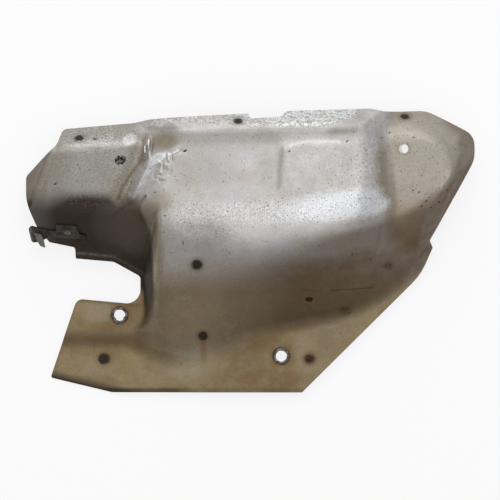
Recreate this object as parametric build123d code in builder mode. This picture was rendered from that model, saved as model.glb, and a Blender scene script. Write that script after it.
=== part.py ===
# Exhaust heat shield: one pressed sheet with two crimped bushes and a riveted cable clip.
# Millimetres, +Z up. It lies hollow side down, as it comes to rest on a bench: X runs along
# its length, Y across it, and the two tips and the lower edge touch the bench at Z = 0.

import os
from math import cos, radians, sin, tan
from typing import NamedTuple

from build123d import *

# Sheet, and the levels that it is pressed to
sheet_thickness = 1.0
edge_level = 0.35
left_tip_level = 1.8
right_tip_level = 1.3
dip_level = 3.6
flange_level = 6.0
seat_level = 36.0
lip_crest_level = 47.5
ridge_level = 56.0
pad_rise = 1.4
blend_sink = 0.05

# Outer radii of the folds
ridge_radius = 42.0
seat_radius = 14.0
flange_radius = 12.0
step_radius = 8.0
side_radius = 5.0
lip_radius = 4.0

# Bolt holes: two in the lower flange with bushes, two plain ones in the upper seats
lower_left_hole = (-99.0, -49.0)
lower_right_hole = (23.5, -80.0)
upper_left_hole = (-97.0, 67.5)
upper_right_hole = (114.5, 76.0)
upper_hole_radius = 3.5
bush_bore_radius = 4.2
bush_wall = 0.8
bush_collar_radius = 6.7
bush_collar_height = 0.9
bush_crimp_radius = 6.3
bush_crimp_height = 0.7
fit_gap = 0.05

# Cable clip on the lower wall of the left box, placed along the wall and up it
clip_along = -16.0
clip_up = 23.0
clip_thickness = 1.0
clip_tab_length = 16.0
clip_tab_height = 14.0
clip_arm_length = 21.5
clip_arm_height = 10.0
clip_arm_drop = 2.0
clip_hook_length = 12.0
clip_hook_reach = 6.0
clip_hook_lip = 5.0
clip_bend_radius = 1.6
tang_width = 5.0
tang_reach = 3.4
tang_depth = 3.5
tang_drop = 4.5
slot_length = 5.0
slot_width = 7.0
rivet_radius = 1.6
rivet_head_radius = 2.7
rivet_head_height = 0.8

# Room for the pressing inside the block that it is cut from
block_length = 370.0
block_width = 244.0
block_depth = 8.0
block_height = 90.0


class Slope(NamedTuple):
    """A flat of the pressing: a point on it, the bearing that it climbs along and its angle."""

    x: float
    y: float
    z: float
    bearing: float = 0.0
    angle: float = 0.0

    def height(self, x, y):
        bearing = radians(self.bearing)
        run = (x - self.x) * cos(bearing) + (y - self.y) * sin(bearing)
        return self.z + run * tan(radians(self.angle))

    def plane(self, inset=0.0):
        bearing = radians(self.bearing)
        climb = tan(radians(self.angle))
        outward = Vector(-climb * cos(bearing), -climb * sin(bearing), 1).normalized()
        level_way = (sin(bearing), -cos(bearing), 0)
        return Plane(Vector(self.x, self.y, self.z) - outward * inset, level_way, outward)


class Fold(NamedTuple):
    """Rounds the edges between the flats named, or all round the one flat named."""

    radius: float
    flats: list


class Former(NamedTuple):
    """A convex swelling of the sheet: the space under all of its flats, sunk a hair below its
    neighbours' flats where it shares them."""

    flats: list
    folds: list
    sink: float = 0.0


# Left box
box_top = Slope(-110.0, 40.0, seat_level)
box_wall = Slope(-121.5, -2.0, flange_level, 88, 46)
box_side = Slope(-170.5, 55.0, left_tip_level, -20, 70)
box_lip = Slope(-113.5, 94.5, 15.0, -85.5, 55)
box_end = Slope(-62.0, 38.0, 20.0, 180, 50)
box = Former(
    [box_top, box_wall, box_side, box_lip, box_end],
    [Fold(seat_radius, [box_top, box_wall]), Fold(side_radius, [box_side]), Fold(side_radius, [box_lip])],
)

# Barrel, the ridge across the middle, with a shallow pad and a raised lip on it
barrel_face = Slope(22.0, 21.0, ridge_level, -90, 10)
barrel_left_step = Slope(-84.0, 75.0, 27.0, -26, 45)
barrel_right_step = Slope(103.5, 58.5, 32.0, 190, 40)
barrel_wall = Slope(37.5, -55.5, flange_level, 100, 42)
barrel_corner = Slope(112.0, -24.5, flange_level, 131, 43)
barrel_front = Slope(7.5, 103.0, 30.0, -89, 57)
barrel_shoulder = Slope(-95.0, -6.5, flange_level, 68, 47)
barrel_flats = [
    barrel_face,
    barrel_left_step,
    barrel_right_step,
    barrel_wall,
    barrel_corner,
    barrel_front,
]
barrel = Former(
    barrel_flats + [barrel_shoulder],
    [
        Fold(ridge_radius, [barrel_face, barrel_wall, barrel_corner]),
        Fold(step_radius, [barrel_right_step]),
        Fold(step_radius, [barrel_left_step]),
        Fold(step_radius, [barrel_shoulder]),
        Fold(lip_radius, [barrel_front]),
    ],
)
lip_back = Slope(7.5, 92.0, lip_crest_level, 91, 22)
lip = Former(
    [barrel_front, lip_back, barrel_left_step, barrel_right_step],
    [Fold(lip_radius, [barrel_front, lip_back])],
    -blend_sink,
)
pad_left_foot = (19.0, 60.0)
pad_right_foot = (82.0, 60.0)
pad_front_foot = (50.0, 84.0)
pad_back_foot = (50.0, 34.0)
pad_top = Slope(*pad_front_foot, barrel_face.height(*pad_front_foot) + pad_rise, -90, 8.4)
pad_left = Slope(*pad_left_foot, barrel_face.height(*pad_left_foot), 0, 18)
pad_right = Slope(*pad_right_foot, barrel_face.height(*pad_right_foot), 180, 40)
pad_front = Slope(*pad_front_foot, barrel_face.height(*pad_front_foot), -90, 30)
pad_back = Slope(*pad_back_foot, barrel_face.height(*pad_back_foot), 90, 50)
pad = Former([pad_top, pad_left, pad_right, pad_front, pad_back], [])

# Elbow, which turns down from the barrel towards the lower flange, and the heel between them
elbow_ramp = Slope(-38.0, -80.0, flange_level, 91, 25.5)
elbow_turn = Slope(-15.0, -70.0, flange_level, 118, 33)
elbow_side = Slope(-80.0, -30.0, flange_level, 4, 72)
elbow_head = Slope(0.0, 50.0, ridge_level, -90, 70)
elbow = Former(
    [barrel_face, barrel_right_step, elbow_ramp, elbow_turn, elbow_side, elbow_head],
    [Fold(ridge_radius, [barrel_face, elbow_ramp, elbow_turn]), Fold(step_radius, [elbow_side])],
    2 * blend_sink,
)
heel_foot = (-41.0, -12.0)
heel_ramp = Slope(*heel_foot, elbow_ramp.height(*heel_foot), 67.5, 27.3)
heel = Former(
    barrel_flats + [heel_ramp, elbow_side],
    [Fold(ridge_radius, [barrel_face, barrel_wall, barrel_corner, heel_ramp])],
    blend_sink,
)

# Right boss
boss_top = Slope(120.0, 60.0, seat_level)
boss_wall = Slope(129.0, -12.0, flange_level, 116, 43)
boss_corner = Slope(158.0, 46.0, 10.0, 152, 71)
boss_side = Slope(171.0, 76.5, right_tip_level, 178, 69)
boss_shoulder = Slope(158.0, 93.5, 9.0, 232, 62)
boss_lip = Slope(120.5, 105.0, 16.0, -92, 54)
boss_end = Slope(77.0, 61.0, 20.0, 10, 50)
boss = Former(
    [boss_top, boss_wall, boss_corner, boss_side, boss_shoulder, boss_lip, boss_end],
    [
        Fold(seat_radius, [boss_top, boss_wall]),
        Fold(side_radius, [boss_top, boss_wall, boss_corner, boss_side, boss_shoulder, boss_lip]),
    ],
)

# Lower flange: a dipped sheet, with a level pad round the left hole and a level right half
flange_edge = Slope(-129.5, -103.5, edge_level, 76, 28)
flange_end = Slope(-132.0, 2.0, flange_level, -90, 60)
flange_dip = Slope(-100.0, -90.0, dip_level)
flange_top = Slope(0.0, -60.0, flange_level)
pad_slope = Slope(-100.0, -73.0, dip_level, 90, 14)
half_slope = Slope(-71.0, -90.0, dip_level, 0, 4)
flange_pad = Former([flange_top, pad_slope, flange_edge, flange_end], [])
flange_half = Former([flange_top, half_slope, flange_edge, flange_end], [], blend_sink)
flange_dipped = Former(
    [flange_dip, flange_edge, flange_end],
    [Fold(flange_radius, [flange_dip, flange_edge])],
    2 * blend_sink,
)

formers = [box, barrel, heel, elbow, lip, pad, boss, flange_pad, flange_half, flange_dipped]

# Corners of the blank, clockwise from the left tip, each with its radius
blank_corners = [
    (-170.3, 56.0, 4.5),
    (-145.0, 78.5, 9.0),
    (-141.0, 91.5, 4.5),
    (-88.5, 96.0, 15.0),
    (-76.0, 98.3, 15.0),
    (-1.5, 102.7, 1.0),
    (0.2, 98.4, 1.5),
    (23.0, 100.0, 2.0),
    (26.7, 104.4, 2.3),
    (89.7, 106.4, 9.0),
    (100.5, 104.2, 10.5),
    (132.5, 105.4, 21.0),
    (170.3, 87.3, 12.0),
    (170.3, 69.0, 16.5),
    (135.5, 7.6, 1.5),
    (138.4, 2.4, 1.1),
    (129.0, -18.6, 45.0),
    (39.2, -107.6, 1.0),
    (-105.0, -107.6, 7.5),
    (-151.5, -96.5, 1.5),
    (-131.3, -36.6, 6.0),
    (-83.2, -41.0, 10.5),
    (-83.2, -19.7, 3.8),
    (-103.2, -8.6, 9.0),
    (-132.0, -6.1, 1.0),
    (-132.3, 2.3, 2.3),
    (-151.5, 6.2, 1.5),
    (-159.5, 16.2, 4.5),
    (-168.6, 39.7, 22.0),
]


def lies_on(edge, plane):
    return all(abs(plane.to_local_coords(edge.position_at(t)).Z) < 0.001 for t in (0, 0.5, 1))


def is_fold(edge):
    middle = edge.position_at(0.5)
    sides_clear = abs(middle.X) < block_length / 2 - 0.1 and abs(middle.Y) < block_width / 2 - 0.1
    return sides_clear and middle.Z > 0.1 - block_depth


def press(former, inset):
    spare = 2 * inset
    depth = inset + former.sink
    with BuildPart() as block:
        with Locations((0, 0, -block_depth - spare)):
            Box(
                block_length + spare,
                block_width + spare,
                block_height,
                align=(Align.CENTER, Align.CENTER, Align.MIN),
            )
        for flat in former.flats:
            split(bisect_by=flat.plane(depth), keep=Keep.BOTTOM)
        for fold in former.folds:
            planes = [flat.plane(depth) for flat in fold.flats]
            meeting = min(len(planes), 2)
            edges = [e for e in block.edges() if is_fold(e) and sum(lies_on(e, p) for p in planes) >= meeting]
            fillet(edges, fold.radius - depth)
    return block.part


outer_formers = [press(former, 0.0) for former in formers]
inner_formers = [press(former, sheet_thickness) for former in formers]

# The clip's wall, and the flats in which its hook and its tang are bent
clip_wall = box_wall.plane()
tab_left = clip_along - clip_tab_length / 2
tab_right = clip_along + clip_tab_length / 2
arm_end = tab_left - clip_arm_length
arm_middle = clip_up - clip_arm_drop
arm_bottom = arm_middle - clip_arm_height / 2
tang_middle = clip_up - tang_drop
slot_middle = tab_right + tang_reach - clip_thickness / 2
hook_plane = Plane(clip_wall.from_local_coords((arm_end, arm_bottom, 0)), clip_wall.y_dir, clip_wall.x_dir)
tang_plane = Plane(clip_wall.from_local_coords((tab_right, tang_middle, 0)), clip_wall.x_dir, -clip_wall.y_dir)
rivet_plane = Plane(clip_wall.from_local_coords((clip_along, clip_up, 0)), clip_wall.x_dir, -clip_wall.y_dir)

with BuildPart() as pressing:
    add(outer_formers)
    add(inner_formers, mode=Mode.SUBTRACT)
    with BuildSketch(Plane.XY.offset(-2 * block_depth)):
        with BuildLine():
            FilletPolyline(
                *[(x, y) for x, y, radius in blank_corners],
                radius=[radius for x, y, radius in blank_corners],
                close=True,
            )
        make_face()
        with Locations(lower_left_hole, lower_right_hole):
            Circle(bush_bore_radius + bush_wall + fit_gap, mode=Mode.SUBTRACT)
        with Locations(upper_left_hole, upper_right_hole):
            Circle(upper_hole_radius, mode=Mode.SUBTRACT)
    extrude(amount=block_depth + block_height, mode=Mode.INTERSECT)
    with BuildSketch(clip_wall):
        with Locations((slot_middle, tang_middle)):
            Rectangle(slot_length, slot_width)
        with Locations((clip_along, clip_up)):
            Circle(rivet_radius + fit_gap)
    extrude(amount=3 * sheet_thickness, both=True, mode=Mode.SUBTRACT)

# Where the pressing lies on the bench, with the middle of its length and width at the origin
reach = pressing.part.bounding_box()
rest = Location((-(reach.min.X + reach.max.X) / 2, -(reach.min.Y + reach.max.Y) / 2, -reach.min.Z))

with BuildPart() as shield_shell:
    with Locations(rest):
        add(pressing.part)

# Crimped bush: a short tube with a collar above the sheet and a rolled crimp below it
with BuildPart() as turned_bush:
    with BuildSketch(Plane.XZ):
        tube_radius = bush_bore_radius + bush_wall
        collar_foot = fit_gap
        collar_top = fit_gap + bush_collar_height
        crimp_head = -sheet_thickness - fit_gap
        crimp_bottom = crimp_head - bush_crimp_height
        with BuildLine():
            Polyline(
                (bush_bore_radius, crimp_bottom),
                (bush_crimp_radius, crimp_bottom),
                (bush_crimp_radius, crimp_head),
                (tube_radius, crimp_head),
                (tube_radius, collar_foot),
                (bush_collar_radius, collar_foot),
                (bush_collar_radius, collar_top),
                (bush_bore_radius, collar_top),
                close=True,
            )
        face = make_face()
        fillet(face.vertices().filter_by(lambda v: v.Y > collar_top - 0.01), bush_collar_height / 3)
    revolve(axis=Axis.Z)

with BuildPart() as lower_left_bush:
    with Locations(rest * Pos(*lower_left_hole, flange_level)):
        add(turned_bush.part)

with BuildPart() as lower_right_bush:
    with Locations(rest * Pos(*lower_right_hole, flange_level)):
        add(turned_bush.part)

# Cable clip: a tab on the wall, an arm past the edge with a hook below it, and a tang in the slot
strip_middle = fit_gap + clip_thickness / 2
with BuildPart() as bent_strip:
    with BuildSketch(clip_wall.offset(fit_gap)):
        with Locations((clip_along, clip_up)):
            Rectangle(clip_tab_length, clip_tab_height)
        with Locations((tab_left - clip_arm_length / 2 + 1, arm_middle)):
            Rectangle(clip_arm_length + 2, clip_arm_height)
        fillet(vertices().filter_by(lambda v: v.X < tab_left - 1 or v.X > tab_right - 1), clip_bend_radius)
        with Locations((clip_along, clip_up)):
            Circle(rivet_radius + fit_gap, mode=Mode.SUBTRACT)
    extrude(amount=clip_thickness)
    with BuildSketch(hook_plane):
        with BuildLine() as hook_line:
            FilletPolyline(
                (clip_bend_radius, strip_middle),
                (-clip_bend_radius, strip_middle),
                (-clip_bend_radius, clip_hook_reach),
                (clip_hook_lip - clip_bend_radius, clip_hook_reach),
                radius=clip_bend_radius,
            )
        trace(line_width=clip_thickness)
    extrude(amount=clip_hook_length)
    with BuildSketch(tang_plane):
        with BuildLine() as tang_line:
            FilletPolyline(
                (-1, strip_middle),
                (tang_reach - clip_thickness / 2, strip_middle),
                (tang_reach - clip_thickness / 2, -tang_depth),
                radius=clip_thickness,
            )
        trace(line_width=clip_thickness)
    extrude(amount=tang_width / 2, both=True)

with BuildPart() as harness_clip:
    with Locations(rest):
        add(bent_strip.part)

# Clip rivet: a coned head on the tab, a shank through tab and sheet, and an upset foot
with BuildPart() as set_rivet:
    with BuildSketch(rivet_plane):
        head_foot = clip_thickness + 2 * fit_gap
        foot_head = -sheet_thickness - fit_gap
        with BuildLine():
            Polyline(
                (0, foot_head - rivet_head_height),
                (rivet_head_radius, foot_head - rivet_head_height),
                (rivet_head_radius, foot_head),
                (rivet_radius, foot_head),
                (rivet_radius, head_foot),
                (rivet_head_radius, head_foot),
                (rivet_head_radius * 0.6, head_foot + rivet_head_height),
                (0, head_foot + rivet_head_height),
                close=True,
            )
        make_face()
    revolve(axis=Axis(rivet_plane.origin, rivet_plane.y_dir))

with BuildPart() as clip_rivet:
    with Locations(rest):
        add(set_rivet.part)

os.makedirs("parts", exist_ok=True)
shield_shell.part.label = "shield_shell"
export_step(shield_shell.part, "parts/shield_shell.step")
lower_left_bush.part.label = "lower_left_bush"
export_step(lower_left_bush.part, "parts/lower_left_bush.step")
lower_right_bush.part.label = "lower_right_bush"
export_step(lower_right_bush.part, "parts/lower_right_bush.step")
harness_clip.part.label = "harness_clip"
export_step(harness_clip.part, "parts/harness_clip.step")
clip_rivet.part.label = "clip_rivet"
export_step(clip_rivet.part, "parts/clip_rivet.step")
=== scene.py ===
import math

import bpy
import numpy as np
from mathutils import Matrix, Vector

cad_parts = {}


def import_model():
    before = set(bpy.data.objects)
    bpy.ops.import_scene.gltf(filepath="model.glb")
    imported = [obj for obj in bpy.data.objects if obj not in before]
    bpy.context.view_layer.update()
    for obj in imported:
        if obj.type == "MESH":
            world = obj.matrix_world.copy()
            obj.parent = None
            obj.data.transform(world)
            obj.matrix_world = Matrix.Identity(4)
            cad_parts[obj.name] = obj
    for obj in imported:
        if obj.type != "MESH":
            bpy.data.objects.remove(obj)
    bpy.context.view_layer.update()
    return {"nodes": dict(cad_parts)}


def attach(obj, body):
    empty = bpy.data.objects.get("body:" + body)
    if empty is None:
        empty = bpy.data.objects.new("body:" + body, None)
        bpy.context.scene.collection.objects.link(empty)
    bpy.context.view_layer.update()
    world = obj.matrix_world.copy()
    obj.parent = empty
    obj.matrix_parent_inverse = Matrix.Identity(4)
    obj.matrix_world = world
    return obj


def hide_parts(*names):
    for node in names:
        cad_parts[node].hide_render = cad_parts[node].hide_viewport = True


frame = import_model()
scene = bpy.context.scene
scene.view_settings.view_transform = "Standard"
print("frame loaded", sorted(frame["nodes"]))

mm = 0.001


# small helpers for working on one object at a time

def deselectAll():
    if bpy.context.mode != "OBJECT":
        bpy.ops.object.mode_set(mode="OBJECT")
    bpy.ops.object.select_all(action="DESELECT")


def pick(piece):
    deselectAll()
    piece.select_set(True)
    bpy.context.view_layer.objects.active = piece


def named(name):
    piece = bpy.context.active_object
    piece.name = name
    piece.data.name = name
    return piece


def finishWith(piece, kind, **settings):
    pick(piece)
    modifier = piece.modifiers.new(kind.lower(), kind)
    for key, value in settings.items():
        setattr(modifier, key, value)
    bpy.ops.object.modifier_apply(modifier=modifier.name)


def smoothByAngle(piece, degrees):
    pick(piece)
    bpy.ops.object.shade_smooth_by_angle(angle=math.radians(degrees))


# shader maths: a wrapped socket that can be added, multiplied and compared in plain Python

class Wire:
    def __init__(self, finish, socket):
        self.finish = finish
        self.socket = socket

    def maths(self, operation, first, second):
        return self.finish.node("ShaderNodeMath", {"operation": operation}, {0: first, 1: second})

    def __add__(self, other):
        return self.maths("ADD", self, other)

    __radd__ = __add__

    def __sub__(self, other):
        return self.maths("SUBTRACT", self, other)

    def __rsub__(self, other):
        return self.maths("SUBTRACT", other, self)

    def __mul__(self, other):
        return self.maths("MULTIPLY", self, other)

    __rmul__ = __mul__

    def atLeast(self, other):
        return self.maths("MAXIMUM", self, other)

    def atMost(self, other):
        return self.maths("MINIMUM", self, other)

    def between(self, low, high, fromValue=0.0, toValue=1.0):
        return self.finish.node(
            "ShaderNodeMapRange",
            {"interpolation_type": "SMOOTHSTEP"},
            {"Value": self, "From Min": low, "From Max": high, "To Min": fromValue, "To Max": toValue},
        )


class Finish:
    def __init__(self, name):
        self.material = bpy.data.materials.new(name)
        self.material.use_nodes = True
        self.tree = self.material.node_tree
        self.tree.nodes.clear()
        self.output = self.tree.nodes.new("ShaderNodeOutputMaterial")
        self.shader = self.tree.nodes.new("ShaderNodeBsdfPrincipled")
        self.tree.links.new(self.shader.outputs[0], self.output.inputs["Surface"])
        self.places = self.tree.nodes.new("ShaderNodeTexCoord").outputs["Object"]

    def feed(self, socket, value):
        if isinstance(value, Wire):
            value = value.socket
        if isinstance(value, bpy.types.NodeSocket):
            self.tree.links.new(value, socket)
        elif hasattr(socket.default_value, "__len__") and hasattr(value, "__len__"):
            size = len(socket.default_value)
            socket.default_value = (tuple(value) + (1.0,))[:size]
        else:
            socket.default_value = value

    def node(self, kind, settings, sockets, result=0):
        made = self.tree.nodes.new(kind)
        for key, value in settings.items():
            setattr(made, key, value)
        for key, value in sockets.items():
            self.feed(made.inputs[key], value)
        return Wire(self, made.outputs[result])

    def mix(self, factor, first, second):
        settings = {"data_type": "RGBA", "clamp_factor": True}
        return self.node("ShaderNodeMix", settings, {0: factor, 6: first, 7: second}, 2)

    def scaled(self, size, shift=(0, 0, 0)):
        sockets = {"Vector": self.places, "Location": shift, "Scale": (1 / size,) * 3}
        return self.node("ShaderNodeMapping", {}, sockets)

    def noise(self, size, detail, roughness, shift=(0, 0, 0)):
        sockets = {"Vector": self.scaled(size, shift), "Scale": 1.0, "Detail": detail, "Roughness": roughness}
        return self.node("ShaderNodeTexNoise", {}, sockets)

    def cells(self, size, result):
        return self.node("ShaderNodeTexVoronoi", {}, {"Vector": self.scaled(size), "Scale": 1.0}, result)

    def attribute(self, name):
        return self.node("ShaderNodeAttribute", {"attribute_name": name}, {}, "Fac")

    def bump(self, height, distance, strength):
        return self.node("ShaderNodeBump", {}, {"Height": height, "Distance": distance, "Strength": strength})

    def surface(self, **sockets):
        for key, value in sockets.items():
            self.feed(self.shader.inputs[key.replace("_", " ")], value)


def placesOf(piece):
    places = np.empty(len(piece.data.vertices) * 3)
    piece.data.vertices.foreach_get("co", places)
    return places.reshape(-1, 3)


def markPoints(piece, name, values):
    layer = piece.data.attributes.new(name, "FLOAT", "POINT")
    layer.data.foreach_set("value", values.astype(np.float32))


def dress(piece, finish):
    piece.data.materials.clear()
    piece.data.materials.append(finish.material)


def grimySteel(spec):
    # two tones of grime, freckled with rust, and rubbed bright with painted light where the piece's dictionary
    # says so
    look = Finish(spec["name"])
    grime = look.noise(spec["grime"], 4.0, spec["tangle"])
    fine = look.noise(spec["fine"], 3.0, 0.6)
    colour = look.mix(grime.between(*spec["band"]), *spec["tones"])
    if "freckles" in spec:
        low, high, share = spec["freckleBand"]
        colour = look.mix(fine.between(low, high, 0.0, share), colour, spec["freckles"])
    if "rubbed" in spec:
        rubbed = look.attribute("rubbed") * grime.between(0.3, 0.6, 0.55, 1.0)
        colour = look.mix(rubbed, colour, spec["rubbed"])
    roughness = spec["roughness"]
    if isinstance(roughness, tuple):
        roughness = grime.between(0.3, 0.7, *roughness)
    normal = look.bump(fine, *spec["bump"])
    look.surface(Base_Color=colour, Metallic=spec["metallic"], Roughness=roughness, Normal=normal)
    return look


# camera: straight above the domed side, on a long lens

viewing = {"aim": (-0.0003, 0.0010), "height": 2.0, "acrossFloor": 0.380, "sensor": 36.0, "farthest": 20.0}

bpy.ops.object.camera_add(location=(*viewing["aim"], viewing["height"]), rotation=(0, 0, 0))
camera = bpy.context.active_object
camera.name = "mainCamera"
camera.data.sensor_width = viewing["sensor"]
camera.data.lens = viewing["sensor"] * viewing["height"] / viewing["acrossFloor"]
camera.data.clip_end = viewing["farthest"]
scene.camera = camera
print("camera set")


# light: a broad soft lamp from the lip's side, a weak one opposite, and a grey room

lighting = {
    "room": (0.47, 0.47, 0.475),
    "key": {"place": (-0.15, 1.5, 1.05), "size": 1.9, "watts": 22.5},
    "fill": {"place": (0.10, -0.12, 1.95), "size": 1.5, "watts": 7.6},
}


def areaLamp(name, spec):
    bpy.ops.object.light_add(type="AREA", location=spec["place"])
    lamp = bpy.context.active_object
    lamp.name = name
    lamp.data.size = spec["size"]
    lamp.data.energy = spec["watts"]
    lamp.rotation_euler = lamp.location.to_track_quat("Z", "Y").to_euler()  # aimed at the origin


deselectAll()
areaLamp("keyLamp", lighting["key"])
areaLamp("fillLamp", lighting["fill"])

world = bpy.data.worlds.new("room")
world.use_nodes = True
room = world.node_tree.nodes["Background"].inputs
room["Color"].default_value = (*lighting["room"], 1.0)
room["Strength"].default_value = 1.0
scene.world = world

floorLook = {"size": 12.0, "drop": 0.0002, "colour": (0.92, 0.92, 0.92), "roughness": 0.9, "whiteShare": 0.8}

deselectAll()
bpy.ops.mesh.primitive_plane_add(size=floorLook["size"], location=(0, 0, -floorLook["drop"]))
floor = named("floor")
floorFinish = Finish("paleFloor")
floorFinish.surface(Base_Color=floorLook["colour"], Roughness=floorLook["roughness"])
rayKinds = ("Is Camera Ray", "Is Glossy Ray", "Is Transmission Ray")
direct, glossy, through = (floorFinish.node("ShaderNodeLightPath", {}, {}, kind) for kind in rayKinds)
seen = direct.atLeast(glossy).atLeast(through)
white = floorFinish.node("ShaderNodeEmission", {}, {"Color": (1, 1, 1), "Strength": 1.0})
blend = floorFinish.node(
    "ShaderNodeMixShader",
    {},
    {0: seen * floorLook["whiteShare"], 1: floorFinish.shader.outputs[0], 2: white},
)
floorFinish.tree.links.new(blend.socket, floorFinish.output.inputs["Surface"])
dress(floor, floorFinish)
print("light and floor set")


# the pressed sheet, in millimetres about the pressing's own middle

pressing = {
    "middle": (-0.108, 0.614, 0.106),
    "sheet": 1.0,
    "pitch": 1.16,
    "flange": 6.0,
    "flangeDip": 2.6,
    "padLift": 0.9,
    "seat": 36.0,
    "reach": (-174, -112, 174, 112),
    "lowerHoleRadius": 5.05,
    "upperHoleRadius": 3.5,
    "wornHole": (4.3, 3.4, 16.0),
    "rivetHole": (-136.93, 14.53, 1.66, 1.16),
    "lowerHoles": [(-99.0, -49.0), (23.5, -80.0)],
    "upperHoles": [(-97.0, 67.5), (114.5, 76.0)],
}

# each flat: a point on it, the bearing that it climbs along, and its angle
flats = {
    "boxWall": (-121.5, -2.0, 6.0, 88, 46),
    "boxSide": (-170.5, 55.0, 1.8, -20, 70),
    "boxLip": (-113.5, 94.5, 15.0, -85.5, 55),
    "boxEnd": (-62.0, 38.0, 20.0, 180, 50),
    "barrelFace": (22.0, 21.0, 56.0, -90, 10),
    "leftStep": (-84.0, 75.0, 27.0, -26, 45),
    "rightStep": (104.0, 58.5, 32.0, 188, 53),
    "barrelWall": (37.5, -55.5, 6.0, 100, 42),
    "barrelCorner": (112.0, -24.5, 6.0, 131, 43),
    "shoulder": (-95.0, -6.5, 6.0, 68, 47),
    "barrelFront": (7.5, 103.0, 30.0, -89, 57),
    "lipBack": (7.5, 92.0, 47.5, 91, 22),
    "elbowRamp": (-38.0, -80.0, 6.0, 91, 25.5),
    "elbowSide": (-80.0, -30.0, 6.0, 4, 72),
    "bossWall": (129.0, -12.0, 6.0, 116, 43),
    "bossCorner": (158.0, 46.0, 10.0, 152, 71),
    "bossSide": (171.0, 76.5, 1.3, 178, 69),
    "bossShoulder": (158.0, 93.5, 9.0, 232, 62),
    "bossLip": (120.5, 105.0, 16.0, -92, 54),
    "bossEnd": (77.0, 61.0, 20.0, 10, 50),
    "flangeEdge": (-129.5, -103.5, 0.35, 76, 28),
    "flangeEnd": (-132.0, 2.0, 6.0, -90, 60),
}

# corners of the blank, clockwise from the left tip, each with its radius
blankCorners = [
    (-170.3, 56.0, 4.5), (-145.0, 78.5, 9.0), (-141.0, 91.5, 4.5), (-88.5, 96.0, 15.0),
    (-76.0, 98.3, 15.0), (-1.5, 102.7, 1.0), (0.2, 98.4, 1.5), (23.0, 100.0, 2.0),
    (26.7, 104.4, 2.3), (89.7, 106.4, 9.0), (100.5, 104.2, 10.5), (132.5, 105.4, 21.0),
    (170.3, 87.3, 12.0), (170.3, 69.0, 16.5), (135.5, 7.6, 1.5), (138.4, 2.4, 1.1),
    (129.0, -18.6, 45.0), (39.2, -107.6, 1.0), (-105.0, -107.6, 7.5), (-151.5, -96.5, 1.5),
    (-131.3, -36.6, 6.0), (-83.2, -41.0, 10.5), (-83.2, -19.7, 3.8), (-103.2, -8.6, 9.0),
    (-132.0, -6.1, 1.0), (-132.3, 2.3, 2.3), (-151.5, 6.2, 1.5), (-159.5, 16.2, 4.5),
    (-168.6, 39.7, 22.0),
]


# how softly neighbouring flats run into each other, in millimetres
folds = {
    "boxWall": 9, "boxSide": 9, "boxLip": 8, "boxEnd": 4,
    "leftStep": 13, "rightStep": 16, "barrelCorner": 14, "elbowRamp": 10, "barrelWall": 22, "shoulder": 4,
    "elbowSide": 9, "lipBack": 8, "lipLeft": 4, "lipRight": 9, "barrelFront": 4, "lipFoot": 3,
    "bossCorner": 14, "bossShoulder": 20, "bossWall": 12, "bossSide": 22, "bossLip": 15, "bossEnd": 4,
    "flangeEdge": 2, "flangeEnd": 2, "boxToBarrel": 3, "barrelToBoss": 9, "foot": 5,
}


def flat(name, x, y):
    px, py, pz, bearing, angle = flats[name]
    turn = math.radians(bearing)
    run = (x - px) * math.cos(turn) + (y - py) * math.sin(turn)
    return pz + run * math.tan(math.radians(angle))


def softMin(a, b, fold):
    overlap = np.maximum(fold - np.abs(a - b), 0.0)
    return np.minimum(a, b) - overlap * overlap / (4.0 * fold)


def softMax(a, b, fold):
    return -softMin(-a, -b, fold)


def rise(t):
    t = np.clip(t, 0.0, 1.0)
    return t * t * (3 - 2 * t)


def beyond(value, start, run):
    return rise((value - start) / run)


def before(value, end, run):
    return rise((end - value) / run)


def foldDown(z, names, x, y):
    for name in names:
        z = softMin(z, flat(name, x, y), folds[name])
    return z


def boxHeight(x, y):
    return foldDown(pressing["seat"] + 0 * x, ("boxWall", "boxSide", "boxLip", "boxEnd"), x, y)


# the elbow's rounded left edge, from its foot upwards
elbowEdge = [
    (-62.0, -90.0), (-66.1, -80.7), (-70.5, -71.4), (-73.3, -60.0), (-72.1, -29.6), (-72.6, 0.4), (-74.1, 13.8),
    (-76.8, 21.2), (-80.4, 28.6), (-81.9, 37.5), (-82.5, 50.0),
]


def edgeAt(y):
    edgeX, edgeY = zip(*elbowEdge)
    return np.interp(y, edgeY, edgeX)


# the elbow's side leans back towards its foot, and the ramp turns into the barrel's wall
elbow = {"lean": 72, "leanLoss": 50, "rim": 1.5, "shoulderLift": 1, "lipSink": 2, "frontLift": 1}


def barrelHeight(x, y):
    leftStep, rightStep = flat("leftStep", x, y), flat("rightStep", x, y)
    face = foldDown(flat("barrelFace", x, y), ("leftStep", "rightStep"), x, y)
    wall = foldDown(flat("barrelWall", x, y), ("barrelCorner",), x, y)
    ramp = flat("elbowRamp", x, y)
    turn = beyond(x, -41, 52)
    brow = folds["elbowRamp"] + (folds["barrelWall"] - folds["elbowRamp"]) * turn
    z = softMin(face, ramp + (wall - ramp) * turn, brow)
    side = flat("elbowSide", x, y)
    lean = np.radians(elbow["lean"] - elbow["leanLoss"] * before(y, -42, 36))
    flared = ramp + (x - edgeAt(y) + elbow["rim"]) * np.tan(lean)
    side = side + (flared - side) * before(y, -38, 22)
    side = softMax(side, flat("shoulder", x, y) + elbow["shoulderLift"], folds["shoulder"])
    z = softMin(z, side, folds["elbowSide"])
    front = flat("barrelFront", x, y)
    lip = foldDown(front, ("lipBack",), x, y)
    lip = softMin(lip, leftStep - elbow["lipSink"], folds["lipLeft"])
    lip = softMin(lip, rightStep - elbow["lipSink"], folds["lipRight"])
    return softMax(softMin(z, front + elbow["frontLift"], folds["barrelFront"]), lip, folds["lipFoot"])


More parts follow.
